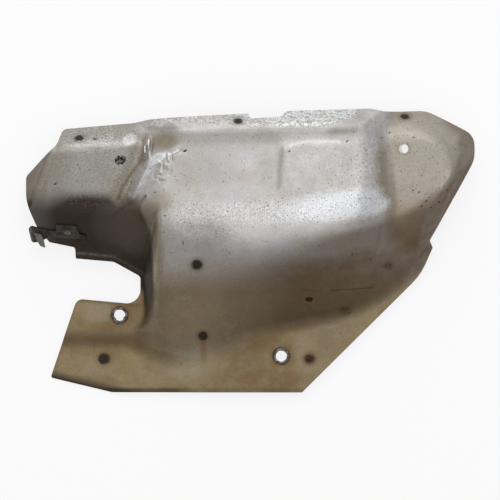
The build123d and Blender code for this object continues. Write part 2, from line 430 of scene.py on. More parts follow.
def bossHeight(x, y):
    wall = softMin(flat("bossCorner", x, y), flat("bossWall", x, y), folds["bossCorner"])
    side = softMin(flat("bossSide", x, y), flat("bossShoulder", x, y), folds["bossShoulder"])
    z = softMin(softMin(pressing["seat"] + 0 * x, wall, folds["bossWall"]), side, folds["bossSide"])
    return foldDown(z, ("bossLip", "bossEnd"), x, y)


def flangeHeight(x, y):
    dip = pressing["flangeDip"] * before(y, -61.5, 13) * before(x, -26.5, 45)
    return foldDown(pressing["flange"] - dip, ("flangeEdge", "flangeEnd"), x, y)


def padHeight(x, y):
    across = beyond(x, 19, 9) * before(x, 83, 22)
    return pressing["padLift"] * across * before(y, 86, 9) * beyond(y, 34, 30)


def formHeight(x, y):
    z = softMax(boxHeight(x, y), barrelHeight(x, y), folds["boxToBarrel"])
    z = softMax(z, bossHeight(x, y), folds["barrelToBoss"]) + padHeight(x, y)
    return softMax(z, flangeHeight(x, y), folds["foot"])


def roundedOutline(corners, stepDegrees=9.0):
    points = []
    count = len(corners)
    for i, (x, y, radius) in enumerate(corners):
        here = np.array((x, y))
        back = np.array(corners[i - 1][:2]) - here
        ahead = np.array(corners[(i + 1) % count][:2]) - here
        back /= np.linalg.norm(back)
        ahead /= np.linalg.norm(ahead)
        half = math.acos(float(np.clip(back @ ahead, -1, 1))) / 2
        middle = (back + ahead) / np.linalg.norm(back + ahead)
        centre = here + middle * radius / math.sin(half)
        start = here + back * radius / math.tan(half) - centre
        turn = math.pi - 2 * half
        if start[0] * back[1] - start[1] * back[0] > 0:
            turn = -turn
        steps = max(2, math.ceil(abs(math.degrees(turn)) / stepDegrees))
        for k in range(steps + 1):
            a = turn * k / steps
            points.append((
                centre[0] + start[0] * math.cos(a) - start[1] * math.sin(a),
                centre[1] + start[0] * math.sin(a) + start[1] * math.cos(a),
            ))
    return points


def column(name, outline, low=-20.0, high=20.0):
    # a closed upright column on an outline given in millimetres
    mesh = bpy.data.meshes.new(name)
    mesh.from_pydata([(x * mm, y * mm, low * mm) for x, y in outline], [], [range(len(outline))])
    piece = bpy.data.objects.new(name, mesh)
    scene.collection.objects.link(piece)
    pick(piece)
    bpy.ops.object.mode_set(mode="EDIT")
    bpy.ops.mesh.select_all(action="SELECT")
    bpy.ops.mesh.extrude_region_move(TRANSFORM_OT_translate={"value": (0, 0, (high - low) * mm)})
    bpy.ops.mesh.select_all(action="SELECT")
    bpy.ops.mesh.normals_make_consistent(inside=False)
    bpy.ops.object.mode_set(mode="OBJECT")
    return piece


def ellipse(x, y, across, along, tilt=0.0, count=40):
    cosLean, sinLean = math.cos(math.radians(tilt)), math.sin(math.radians(tilt))
    points = []
    for k in range(count):
        u, v = across * math.cos(2 * math.pi * k / count), along * math.sin(2 * math.pi * k / count)
        points.append((x + u * cosLean - v * sinLean, y + u * sinLean + v * cosLean))
    return points


def cutWith(piece, cutter, operation):
    finishWith(piece, "BOOLEAN", object=cutter, operation=operation, solver="EXACT")
    bpy.data.objects.remove(cutter)


trimming = {"blank": 3, "skinDepth": 1, "merge": 0.12}


def trimmedGrid(name, reach, pitch, outline, holes=()):
    # a fine flat grid, closed below, trimmed to an outline and pierced, of which only the top skin stays
    lowX, lowY, highX, highY = reach
    deselectAll()
    bpy.ops.mesh.primitive_grid_add(
        x_subdivisions=round((highX - lowX) / pitch), y_subdivisions=round((highY - lowY) / pitch), size=2
    )
    skin = named(name)
    skin.scale = ((highX - lowX) / 2 * mm, (highY - lowY) / 2 * mm, 1)
    skin.location = ((highX + lowX) / 2 * mm, (highY + lowY) / 2 * mm, 0)
    bpy.ops.object.transform_apply(location=True, rotation=False, scale=True)
    bpy.ops.object.mode_set(mode="EDIT")
    bpy.ops.mesh.select_all(action="DESELECT")
    bpy.ops.mesh.select_mode(type="EDGE")
    bpy.ops.mesh.select_non_manifold()
    bpy.ops.mesh.extrude_region_move(TRANSFORM_OT_translate={"value": (0, 0, -trimming["blank"] * mm)})
    bpy.ops.mesh.edge_face_add()
    bpy.ops.mesh.select_all(action="SELECT")
    bpy.ops.mesh.normals_make_consistent(inside=False)
    bpy.ops.object.mode_set(mode="OBJECT")
    cutWith(skin, column("outline", outline), "INTERSECT")
    for hole in holes:
        cutWith(skin, column("piercing", hole), "DIFFERENCE")
    pick(skin)
    bpy.ops.object.mode_set(mode="EDIT")
    bpy.ops.mesh.select_mode(type="FACE")
    bpy.ops.mesh.select_all(action="DESELECT")
    bpy.ops.object.mode_set(mode="OBJECT")
    for face in skin.data.polygons:
        face.select = face.normal.z < 0.5 or face.center.z < -trimming["skinDepth"] * mm
    bpy.ops.object.mode_set(mode="EDIT")
    bpy.ops.mesh.delete(type="FACE")
    bpy.ops.mesh.select_all(action="SELECT")
    bpy.ops.mesh.remove_doubles(threshold=trimming["merge"] * mm)
    bpy.ops.object.mode_set(mode="OBJECT")
    return skin


def shapeSkin(skin, heightAt):
    # lifts a flat skin to its height and moves it from the pressing's middle into the frame
    places = placesOf(skin)
    x, y = places[:, 0] / mm, places[:, 1] / mm
    shiftX, shiftY, shiftZ = pressing["middle"]
    places[:, 2] = (heightAt(x, y) + shiftZ) * mm
    places[:, 0] += shiftX * mm
    places[:, 1] += shiftY * mm
    skin.data.vertices.foreach_set("co", places.ravel())
    skin.data.update()


# what use has left on the sheet, and the lines that bound its painted shade and highlights: places and sizes in
# millimetres about the pressing's middle

wear = {
    # weld marks: place, half width, half height, darkness
    "weldSpots": [
        (-128.3, 84.3, 3.4, 2.3, 0.9), (-116.2, 83.5, 1.2, 0.9, 0.6), (-9.1, 96.4, 3.5, 2.4, 0.9),
        (116.3, 100.7, 3.5, 2.2, 0.9), (-39.7, -10.8, 3.9, 3.7, 1.0), (-35.7, -64.6, 3.6, 3.4, 1.0),
        (-110.9, -82.3, 4.3, 4.1, 1.0), (44.9, -82.2, 3.7, 3.3, 0.78), (44.2, -36.8, 3.1, 2.1, 0.95),
    ],
    # dimples: place, radius, depth, darkness
    "softDimples": [
        (71.7, -45.8, 6.0, 0.5, 0.45), (103.6, -11.7, 5.0, 0.5, 0.45), (-66.1, -80.7, 6.0, 0.3, 0.15),
    ],
    # nicks: place, half width, half height, turn
    "nicks": [
        (-49.9, 5.6, 0.5, 1.5, 8), (-63.2, 25.6, 0.7, 0.6, 0), (-95.7, 31.0, 0.7, 0.6, 0),
        (-89.0, 51.1, 0.7, 0.6, 0), (-145.7, 49.6, 1.5, 0.6, 25), (-124.8, 40.7, 0.7, 0.6, 0),
        (-48.4, 73.9, 1.5, 0.9, 20), (-78.1, 40.4, 0.8, 0.6, 40), (89.6, -6.4, 0.7, 0.6, 0),
        (140.9, 36.2, 1.0, 0.6, 40), (147.0, 45.2, 0.9, 0.6, 40), (126.0, 43.5, 1.1, 0.45, 20),
        (121.5, 45.0, 0.7, 0.5, 60), (131.5, 36.8, 1.2, 0.45, 35), (72.0, 81.0, 1.3, 0.45, 50),
        (29.0, 73.6, 0.7, 0.6, 0), (-70.8, 43.0, 0.7, 0.6, 0), (13.0, 33.0, 0.6, 0.8, 0),
        (76.0, -3.0, 1.2, 0.5, 55), (128.0, 33.0, 1.0, 0.5, 30), (135.0, 32.0, 0.9, 0.5, 40),
        (133.5, 39.5, 0.8, 0.45, 10), (104.0, 88.0, 0.7, 0.5, 0), (98.0, 84.0, 0.9, 0.4, 20),
        (122.0, 84.5, 0.8, 0.4, -30), (86.0, 74.0, 0.8, 0.4, 45), (-20.0, 51.0, 0.7, 0.5, 0),
    ],
    "ridgeLine": [(-50.0, 25.0), (-22.4, 26.0), (7.2, 27.5), (36.8, 29.5), (66.4, 33.0), (88.0, 37.0)],
    "lipCrease": [
        (-75.1, 91.8), (-7.6, 90.5), (29.5, 91.3), (51.8, 92.0), (66.7, 94.0), (75.7, 96.3), (83.4, 101.1),
    ],
    "lipFoot": [(-46.0, 82.0), (-10.0, 82.5), (16.0, 83.5)],
    "notchBrow": [(-131.3, -1.9), (-116.0, -3.2), (-102.5, -4.9)],
    "notchEdge": [(-102.5, -4.9), (-91.0, -11.5), (-78.2, -19.3)],
    "padBrow": [(26.0, 76.0), (34.0, 79.6), (44.0, 81.4), (56.0, 81.8), (66.0, 81.0)],
    "boxCorner": [(-142.5, 78.0), (-149.0, 64.0), (-156.4, 48.1)],
    "padSide": [(23.6, 75.0), (22.3, 62.0), (21.6, 48.0)],
    "stepValley": [
        (-79.5, 82.5), (-79.4, 75.0), (-81.2, 68.0), (-85.4, 61.8), (-90.7, 55.0), (-95.6, 47.0),
        (-98.3, 39.0),
    ],
    "stepShade": [
        (-84.5, 84.0), (-86.0, 75.0), (-89.0, 66.0), (-93.0, 58.0), (-97.5, 50.5), (-101.0, 43.0),
    ],
    "stepLight": [(-74.5, 63.0), (-78.5, 58.0), (-82.5, 51.5), (-85.5, 46.0), (-87.5, 42.0)],
    "lobeCreases": [
        [(-78.5, 40.0), (-81.5, 36.5), (-82.5, 31.5), (-80.0, 26.0)],
        [(-80.5, 27.0), (-77.0, 22.5), (-74.5, 19.5)],
    ],
    "groove": [(97.4, 70.0), (98.3, 60.0), (99.7, 45.1), (103.5, 33.0), (106.0, 25.0)],
    "grooveTop": [(96.5, 86.0), (97.6, 72.0)],
    "wallFoot": [(2.0, -63.0), (28.0, -60.0), (50.0, -55.0)],
    "padValley": [
        (-76.0, -38.0), (-78.1, -46.5), (-80.5, -54.2), (-85.1, -61.8), (-92.6, -66.0), (-104.8, -67.0),
        (-138.0, -66.0),
    ],
    "scratchLeft": [(38.8, -29.2), (46.0, -30.0), (54.0, -30.2)],
    "scratchRight": [(60.0, -30.0), (74.0, -29.4), (91.9, -28.0)],
    "notchFoot": [(-133.0, -37.0), (-100.0, -39.8), (-84.0, -42.0)],
    "flangeSide": [(-151.5, -97.0), (-131.8, -38.0)],
    "stepTop": [(-78.5, 84.0), (-79.5, 76.0), (-82.0, 69.0)],
    "elbowRim": [(-70.0, 18.0), (-69.0, 0.0), (-69.0, -30.0), (-70.0, -56.0)],
    "sootShadeTop": [
        (-160.0, 39.0), (-149.4, 39.0), (-142.0, 40.2), (-134.5, 41.2), (-119.6, 41.6), (-106.1, 40.6),
        (-101.7, 37.7), (-97.2, 36.5), (-91.2, 37.5), (-86.7, 38.0), (-82.3, 37.0),
    ],
    "wallBrow": [
        (-8.0, 4.0), (7.6, 5.5), (22.8, 7.0), (37.9, 8.5), (53.1, 11.0), (65.3, 13.5), (77.4, 16.5),
        (89.6, 19.0), (101.7, 23.5), (110.0, 26.0), (119.0, 30.0), (130.0, 38.0), (142.0, 45.0),
        (150.0, 50.0),
    ],
    "creaseStreaks": [
        [(-75.6, 82.5), (-75.6, 76.5), (-75.5, 69.7)], [(-78.6, 77.2), (-78.6, 73.5)],
        [(-61.1, 71.6), (-60.3, 67.1)], [(-53.6, 73.9), (-60.0, 71.0)],
    ],
    # pocket: place, half width, half height, depth; buckle: place, half width, half height, turn
    "clipPocket": (-126.0, 10.3, 3.2, 2.9, 1.6),
    "buckle": (-71.0, 67.5, 9.0, 3.6, 28.0),
    # wrinkles: place, half width, half height, count
    "wrinkles": (-68.0, 58.5, 9.0, 8.0, 22),
    "wrinkleSeed": 11,
    "wrinkleGather": 0.6,
    "wrinkleHalf": (1.0, 2.6),
    "wrinkleHeights": (0.35, 0.3, -0.4),
}

# stains, painted shade and painted highlights along lines: share, half width, line
stainedLines = {
    "tan": [(0.7, 11.0, "groove"), (0.85, 8.0, "elbowRim")],
    "dull": [
        (0.45, 12.0, "lipFoot"), (0.85, 8.5, "stepShade"), (0.95, 8.0, "stepTop"), (0.3, 6.0, "grooveTop"),
        (0.5, 3.0, "lipCrease"), (0.7, 3.6, "padSide"), (0.5, 7.0, "elbowRim"),
    ],
    "scorch": [
        (0.8, 3.2, "stepValley"), (0.4, 3.4, "boxCorner"), (0.36, 6.5, "stepShade"), (0.4, 7.0, "stepTop"),
        (0.66, 3.0, "padValley"), (0.36, 9.5, "padValley"), (0.7, 2.8, "notchFoot"),
        (0.4, 2.2, "flangeSide"),
    ],
    "shine": [(0.7, 8.5, "stepLight"), (0.5, 3.4, "padBrow")],
    "rust": [(0.5, 8.0, "wallFoot")],
    # scuff, also a painted highlight along the notch's brow
    "scuff": [(0.9, 1.7, "notchBrow"), (0.35, 1.8, "notchEdge")],
    "spots": [(0.44, 1.2, "scratchLeft"), (0.46, 1.3, "scratchRight")],
    "specks": [(0.6, 17.0, "ridgeLine")],
}

# stained patches, painted shade and painted highlights: share, place, half width, half height, turn, softness
stainedPatches = {
    "tan": [
        (0.72, -64, 82, 11, 7, 8, 1.3), (0.35, -57, 97, 6, 4, 0, 1.3), (0.3, -42, 60, 28, 17, 0, 1.2),
        (0.6, -66, 36, 8, 9, 0, 1.3), (0.2, 12, 62, 9, 16, 0, 1.3), (0.34, 92, 58, 10, 30, 0, 1.3),
        (0.65, -92, 18, 26, 22, 0, 1.2),
    ],
    "shine": [
        (0.55, -67, 95.5, 7, 4, 12, 1.3), (0.45, -46, 96.5, 8, 3, 3, 1.3), (0.16, 52, 56, 30, 17, 0, 1.3),
        (0.55, -90, 83, 7, 5, 20, 0.8), (0.4, -118, 80, 26, 3, 4, 1.2), (0.2, -64, 50, 16, 8, -30, 1.3),
        (0.56, 86, 62, 10, 40, -4, 1.7), (0.9, 91, 33, 14, 7, 14, 1.1), (0.4, -40, 13, 16, 9, 0, 1.3),
    ],
    "scorch": [
        (0.45, -158, 48, 8, 16, -20, 1.2), (0.6, -76, 28, 6, 10, 15, 1.3),
        (0.26, -146, 60, 11, 22, 0, 1.2), (0.35, -66, -82, 9, 6, 0, 1.3), (0.4, -2, -72, 18, 12, 15, 1.4),
    ],
    "dull": [(0.5, 84, 97, 8, 6, 0, 1.2), (0.7, 71, 91.5, 14, 4.5, 10, 1.1)],
    "specks": [
        (0.72, -112, 86, 32, 8, 3, 0.6), (0.16, 128, 70, 36, 34, 0, 0.9), (0.24, -116, 62, 42, 26, 0, 1.2),
        (0.3, 76, 54, 18, 20, 0, 1.2),
    ],
    "rust": [
        (0.75, -98, -50, 10, 10, 0, 1.2), (0.75, 24.5, -81, 10, 10, 0, 1.2),
        (0.95, 44.9, -82.2, 5.2, 4.6, 0, 1.0), (0.95, 44.2, -36.8, 4.4, 3.2, 0, 1.0),
        (0.4, 120, 6, 20, 15, 30, 1.4), (0.6, -35.4, -74, 3.4, 14, 0, 1.4),
        (0.6, 26, -95, 3.2, 12, 0, 1.2), (0.55, -106, -57, 16, 5, 0, 1.4), (0.55, 14, -98, 34, 10, 0, 1.2),
        (0.6, 8, -68, 14, 10, 20, 1.3), (0.45, -120, -66, 26, 6, 0, 1.3),
    ],
    "pale": [
        (0.8, -48, -86, 20, 13, 0, 1.2), (0.5, -116, -88, 14, 7, 0, 1.3), (0.65, -114, -47, 13, 9, 0, 1.2),
        (0.3, -60, -96, 30, 6, 0, 1.3), (0.1, 104, -34, 20, 5, 38, 1.3), (0.4, 98, 52, 9, 24, 0, 1.3),
        (0.8, 132, 66, 34, 30, 0, 0.8),
    ],
    "scuff": [(0.5, -156, 39, 5, 2, 20, 1.2), (0.4, 134, 41, 10, 4, 36, 1.3)],
}


def blob(x, y, cx, cy, rx, ry, turn, soft):
    a = math.radians(turn)
    u = (x - cx) * math.cos(a) + (y - cy) * math.sin(a)
    v = (y - cy) * math.cos(a) - (x - cx) * math.sin(a)
    return rise((1 + soft / 2 - np.hypot(u / rx, v / ry)) / soft)


def distanceTo(x, y, line):
    nearest = np.full(x.shape, 1e6)
    for (ax, ay), (bx, by) in zip(line, line[1:]):
        run = (bx - ax) ** 2 + (by - ay) ** 2
        t = np.clip(((x - ax) * (bx - ax) + (y - ay) * (by - ay)) / run, 0, 1)
        nearest = np.minimum(nearest, np.hypot(x - ax - t * (bx - ax), y - ay - t * (by - ay)))
    return nearest


def streak(x, y, line, width):
    return rise(1 - distanceTo(x, y, line) / width)


def halo(x, y, cx, cy, radius, width):
    return rise(1 - np.abs(np.hypot(x - cx, y - cy) - radius) / width)


def tile(x, y, cx, cy, rx, ry, reach, soft):
    return rise((reach - np.maximum(np.abs(x - cx) / rx, np.abs(y - cy) / ry)) / soft)


def below(x, y, line, soft):
    lineX, lineY = zip(*line)
    return rise((np.interp(x, lineX, lineY) - y) / soft + 0.5)


def wrinkleStrokes():
    # short strokes in all directions, up and down, about the wrinkled patch
    cx, cy, rx, ry, count = wear["wrinkles"]
    draw = np.random.default_rng(wear["wrinkleSeed"])
    strokes = []
    for k in range(count):
        along = draw.uniform(0, 2 * math.pi)
        away = draw.uniform(0, 1) ** wear["wrinkleGather"]
        turn = draw.uniform(0, math.pi)
        x0, y0 = cx + rx * away * math.cos(along), cy + ry * away * math.sin(along)
        half = draw.uniform(*wear["wrinkleHalf"])
        dx, dy = half * math.cos(turn), half * math.sin(turn)
        height = draw.choice(wear["wrinkleHeights"])
        strokes.append(([(x0 - dx, y0 - dy), (x0 + dx, y0 + dy)], height))
    return strokes


# heights and depths, some with a half width and how far they lie beside their line
relief = {
    "weld": 0.45,
    "nick": 0.3,
    "creaseRidge": (0.75, 1.5),
    "creaseValley": (0.5, 2.0, 2.0),
    "lobeValley": (0.45, 2.2),
    "lobeRidge": (0.3, 2.4, 2.4),
    "buckle": 0.9,
    "wrinkleWidth": 1.3,
    "groove": (0.25, 9),
    "waviness": 0.10,
}


def reliefHeight(x, y):
    # welds press the sheet in, knocks dent it, and the left step is buckled
    def fold(kind, line):
        amount, width, *aside = relief[kind]
        return amount * streak(x - sum(aside), y, line, width)

    z = 0 * x
    for cx, cy, rx, ry, darkness in wear["weldSpots"]:
        z = z - relief["weld"] * blob(x, y, cx, cy, rx, ry, 0, 0.5)
    for cx, cy, radius, depth, darkness in wear["softDimples"]:
        z = z - depth * blob(x, y, cx, cy, radius, radius, 0, 1.6)
    for nick in wear["nicks"]:
        z = z - relief["nick"] * blob(x, y, *nick, 1.0)
    for line in wear["creaseStreaks"]:
        z = z + fold("creaseRidge", line) - fold("creaseValley", line)
    for line in wear["lobeCreases"]:
        z = z - fold("lobeValley", line) + fold("lobeRidge", line)
    z = z + relief["buckle"] * blob(x, y, *wear["buckle"], 0.8)
    for line, height in wrinkleStrokes():
        z = z + height * streak(x, y, line, relief["wrinkleWidth"])
    z = z - fold("groove", wear["groove"])
    cx, cy, rx, ry, depth = wear["clipPocket"]
    z = z - depth * tile(x, y, cx, cy, rx, ry, 1.15, 0.4)
    swell = np.sin(x / 9.0 + 1.3 * np.sin(y / 17.0)) * np.sin(y / 11.0 + 0.8 * np.sin(x / 13.0))
    return z + relief["waviness"] * swell


def stainsAt(x, y):
    # how much of each stain, painted shade and painted highlight lies where, from the sheet's slope and bend
    # and from the marks listed above
    step, wide = 0.6, 2.5
    z = formHeight(x, y)
    slopeX = (formHeight(x + step, y) - formHeight(x - step, y)) / (2 * step)
    slopeY = (formHeight(x, y + step) - formHeight(x, y - step)) / (2 * step)
    around = formHeight(x + wide, y) + formHeight(x - wide, y)
    around = around + formHeight(x, y + wide) + formHeight(x, y - wide)
    bend = (around - 4 * z) / (wide * wide)
    onFlange = before(z, 10, 4)
    beyondEdge = before(x, edgeAt(y) + elbow["rim"], 3.5)
    kinds = (
        "crease", "worn", "soot", "scorch", "tan", "pale", "dull", "shine", "specks", "rust", "spots", "scuff",
    )
    stains = {kind: 0 * x for kind in kinds}

    def stain(kind, share):
        stains[kind] = np.maximum(stains[kind], share)

    for kind, marks in stainedLines.items():
        for share, width, line in marks:
            stain(kind, share * streak(x, y, wear[line], width))
    for kind, marks in stainedPatches.items():
        for share, *patch in marks:
            stain(kind, share * blob(x, y, *patch))

    # painted shade in concave bends, kept off the lip, the groove and the low flange; edge wear with a painted
    # highlight on convex bends
    clear = (1 - 0.85 * beyond(y, 78, 6)) * (1 - streak(x, y, wear["groove"], 14))
    clear = clear * (1 - 0.8 * before(y, -58, 10))
    stain("crease", rise(bend / 0.14) * clear)
    stain("worn", rise(-bend / 0.16))

    # soot with painted shade on the box's lower wall, the elbow's side and the notch between them, painted
    # shade in the lobe's creases, and darker along the flange's edges
    haze = 11.0 + 9.0 * beyond(np.abs(x + 116), 12, 16)
    sootShadeWall = beyondEdge * below(x, y, wear["sootShadeTop"], haze) * beyond(y, -22, 8)
    stain("soot", sootShadeWall * (0.74 + 0.26 * beyond(x, -166, 32)))
    stain("soot", beyondEdge * beyond(slopeX, 0.25, 0.8) * beyond(y, -54, 28) * before(y, 42, 8))
    stain("soot", onFlange * before(x, -70, 6) * beyond(y, -34, 8) * before(y, 14, 6))
    stains["soot"] = stains["soot"] * (1 - 0.24 * blob(x, y, -92, 18, 26, 22, 0, 1.3))
    for line in wear["lobeCreases"]:
        stain("soot", 0.4 * streak(x, y, line, 2.6))
    lowEdge = before(y, -103.2, 2.5) * (0.4 + 0.6 * before(x, -40, 20))
    rim = np.minimum(before(flat("flangeEdge", x, y), 2.9, 1.6) + lowEdge, 1.0)
    stain("soot", 0.66 * rim * onFlange * before(y, -40, 20))

    # scorch with painted shade on the walls that slope down towards -y and below the wall's brow, on the flange
    # by the notch and on the steep sides, deepest to the right
    faceDown = beyond(slopeY, -0.02, 0.95) * beyond(x, -78, 10) * before(y, 76, 8)
    faceDown = faceDown * (0.26 + 0.74 * beyond(x, -30, 72))
    stain("scorch", faceDown * (1 - 0.6 * onFlange * before(x, 2, 30)))
    browHaze = 9.0 + 18.0 * before(x, 82, 70)
    stain("scorch", 0.72 * below(x, y, wear["wallBrow"], browHaze) * beyond(x, -20, 80) * (1 - onFlange))
    stain("scorch", 0.8 * onFlange * beyond(slopeY, 0.06, 0.3) * before(x, -76, 10))
    stain("scorch", 0.62 * before(y, -58, 6) * beyond(y, -81, 13) * before(x, -70, 14))
    steepSide = beyond(np.abs(slopeX), 0.5, 0.9) * beyond(np.abs(x), 130, 14)
    stain("scorch", 0.75 * steepSide * (0.7 + 0.3 * before(x, -100, 20)))

    # tan on the flange, the boss and the lower elbow; dull grey with painted shade on the box, and painted
    # shade on the steep sides
    boss = beyond(x, 98, 10) * beyond(y, -4, 16)
    greyer = beyond(x, 28, 30)
    stain("dull", 0.4 * onFlange * greyer)
    stain("tan", np.maximum(onFlange * (1 - 0.32 * greyer), (0.74 - 0.16 * beyond(y, 30, 10)) * boss))
    stain("tan", 0.9 * before(y, 2, 36) * np.maximum(beyond(x, -82, 8), before(y, -30, 12)))
    stain("dull", 0.87 * before(x, -80, 9) * beyond(y, 30, 8))
    stain("dull", np.maximum(steepSide, 0.12 * beyond(x, 98, 8) * beyond(y, 78, 9)))

    # rubbed bright metal with painted highlights: the ridge, cut back below the wall's brow, the lip, the
    # buckle and rings about the upper holes
    lit = 1 - below(x, y - 8.0 * before(x, 84, 50), wear["wallBrow"], 14.0) * beyond(x, -60, 40)
    stain("shine", streak(x, y, wear["ridgeLine"], 22) * (0.46 + 0.6 * beyond(x, 4, 66)) * lit)
    lip = rise((y - 91 - 8 * beyond(x, 48, 38)) / 3) * beyond(x, -82, 10) * before(x, 86, 14)
    lip = lip * (0.45 + 0.55 * beyond(x, 5, 30))
    stain("shine", 0.58 * lip)
    stain("specks", np.minimum(1.8 * lip, 1.0))
    for line in wear["creaseStreaks"]:
        stain("shine", streak(x, y, line, 1.5))
    stain("shine", blob(x, y, *wear["buckle"], 0.5))
    for cx, cy in pressing["upperHoles"]:
        stain("shine", 0.2 * halo(x, y, cx, cy, 6.2, 1.4))
        stain("dull", 0.6 * halo(x, y, cx, cy, 4.8, 1.4))

    # dark marks: welds with their halos, nicks and dimples; painted shade in the clip's pocket and a painted
    # shadow round the bushes
    for cx, cy, rx, ry, darkness in wear["weldSpots"]:
        stain("spots", darkness * blob(x, y, cx, cy, rx, ry, 0, 1.0))
        stain("scorch", 0.6 * blob(x, y, cx, cy, 1.6 * rx, 1.6 * ry, 0, 1.2))
    for nick in wear["nicks"]:
        stain("spots", 0.9 * blob(x, y, *nick, 0.9))
    for cx, cy, radius, depth, darkness in wear["softDimples"]:
        stain("spots", darkness * blob(x, y, cx, cy, radius, 0.7 * radius, 0, 1.2))
    cx, cy, rx, ry, depth = wear["clipPocket"]
    stain("spots", tile(x, y, cx, cy, rx, ry, 1.2, 0.5))
    for cx, cy in pressing["lowerHoles"]:
        stain("spots", 0.7 * halo(x, y, cx, cy, 6.3, 1.5))
    return stains


# where the net is made finer: about the buckled step, the small marks and some lines
fineNet = {
    "buckledStep": (-86, 48, -46, 88),
    "aroundMarks": 1.6,
    "besideLines": 2.2,
    "lines": ("scratchLeft", "scratchRight", "notchBrow", "notchEdge"),
}


def needsFineNet(x, y):
    lowX, lowY, highX, highY = fineNet["buckledStep"]
    fine = (x > lowX) & (x < highX) & (y > lowY) & (y < highY)
    for cx, cy, rx, ry, *rest in wear["weldSpots"] + wear["nicks"]:
        fine |= np.hypot(x - cx, y - cy) < max(rx, ry) + fineNet["aroundMarks"]
    for line in fineNet["lines"]:
        fine |= distanceTo(x, y, wear[line]) < fineNet["besideLines"]
    return fine


def pressSheet():
    lower, upper = pressing["lowerHoleRadius"], pressing["upperHoleRadius"]
    holes = [ellipse(cx, cy, lower, lower) for cx, cy in pressing["lowerHoles"]]
    (leftX, leftY), (rightX, rightY) = pressing["upperHoles"]
    holes += [ellipse(leftX, leftY, *pressing["wornHole"]), ellipse(rightX, rightY, upper, upper)]
    holes += [ellipse(*pressing["rivetHole"])]
    outline = roundedOutline(blankCorners)
    piece = trimmedGrid("shieldSheet", pressing["reach"], pressing["pitch"], outline, holes)
    pick(piece)
    bpy.ops.object.mode_set(mode="EDIT")
    bpy.ops.mesh.select_all(action="DESELECT")
    bpy.ops.object.mode_set(mode="OBJECT")
    centres = np.array([tuple(face.center) for face in piece.data.polygons]) / mm
    for face, fine in zip(piece.data.polygons, needsFineNet(centres[:, 0], centres[:, 1])):
        face.select = bool(fine)
    bpy.ops.object.mode_set(mode="EDIT")
    bpy.ops.mesh.subdivide(number_cuts=1)
    bpy.ops.object.mode_set(mode="OBJECT")
    shapeSkin(piece, lambda x, y: formHeight(x, y) + reliefHeight(x, y))
    outer = len(piece.data.vertices)
    finishWith(piece, "SOLIDIFY", thickness=pressing["sheet"] * mm, offset=-1.0, use_even_offset=True)
    smoothByAngle(piece, 50)
    places = placesOf(piece)
    x, y = places[:, 0] / mm - pressing["middle"][0], places[:, 1] / mm - pressing["middle"][1]
    stains = stainsAt(x, y)
    stains["inside"] = (np.arange(len(places)) >= outer).astype(float)
    for name, values in stains.items():
        markPoints(piece, name, values)
    return piece


sheet = pressSheet()
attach(sheet, "root")
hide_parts("shield_shell")
print("sheet pressed", len(sheet.data.polygons))


# the aged metal-coated sheet, with painted shade and highlights in its colours

agedSheet = {
    "clean": (0.50, 0.475, 0.45),
    "cleanPale": (0.58, 0.565, 0.55),
    "warm": (0.44, 0.39, 0.34),
    # dull grey, also painted shade
    "dull": (0.29, 0.270, 0.225),
    "cool": (0.52, 0.53, 0.555),
    "tan": (0.203, 0.141, 0.058),
    "tanPale": (0.256, 0.189, 0.086),
    "pale": (0.33, 0.275, 0.18),
    # scorch brown, also painted shade
    "scorch": (0.142, 0.096, 0.052),
    # soot black, also painted shade
    "soot": (0.056, 0.040, 0.028),
    "rust": (0.20, 0.105, 0.038),
    # polished metal, also painted highlights
    "shine": (0.815, 0.825, 0.845),
    # dark marks, also painted shade
    "spot": (0.054, 0.038, 0.027),
    "speck": (0.085, 0.078, 0.070),
    # scuff, also a painted highlight
    "scuff": (0.22, 0.185, 0.150),
    "insidePale": (0.30, 0.285, 0.26),
    "insideBrown": (0.19, 0.155, 0.115),
    "grain": (0.05, 0.045, 0.04),
}


def pits(look, size, chance):
    spread = look.cells(size, "Distance")
    draw = look.node("ShaderNodeSeparateColor", {}, {0: look.cells(size, "Color")}, "Red")
    return (1 - spread.between(0.14, 0.42)) * (chance - draw).between(0.0, 0.05)


